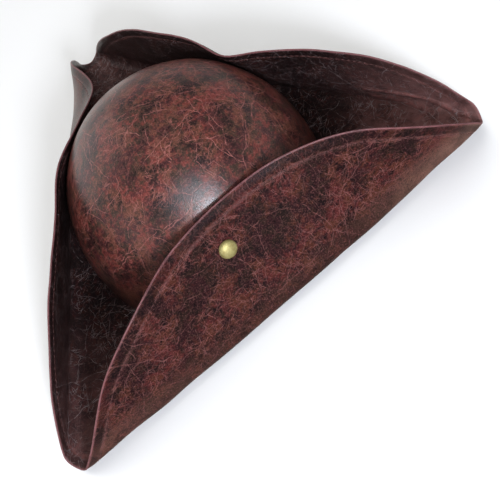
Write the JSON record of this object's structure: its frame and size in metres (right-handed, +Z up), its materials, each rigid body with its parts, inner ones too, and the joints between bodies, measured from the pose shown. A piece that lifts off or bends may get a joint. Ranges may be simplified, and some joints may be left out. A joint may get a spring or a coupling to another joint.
{
  "type": "tricorn hat",
  "caption": "Tricorn hat of worn brown leather: a smooth domed crown with its brim folded up into flaps that lean on the crown, each held by a small domed brass stud.",
  "frame": {"origin": "on the surface that the hat rests on, at the middle of its length and width", "axes": "+Z up along the crown, +Y towards the front point, +X towards the wearer's right"},
  "size_m": [0.3634, 0.322, 0.1147],
  "materials": {
    "crown_leather": "worn dark brown leather with red-brown scuffs, soft satin sheen",
    "brim_leather": "worn dark brown leather with red-brown scuffs, darker on the inner face, raw cut edge",
    "stud_brass": "satin, lightly aged"
  },
  "bodies": {
    "root": {"crown": "crown_leather", "brim": "brim_leather", "stud_back": "stud_brass", "stud_right": "stud_brass", "stud_left": "stud_brass"}
  },
  "joints": []
}
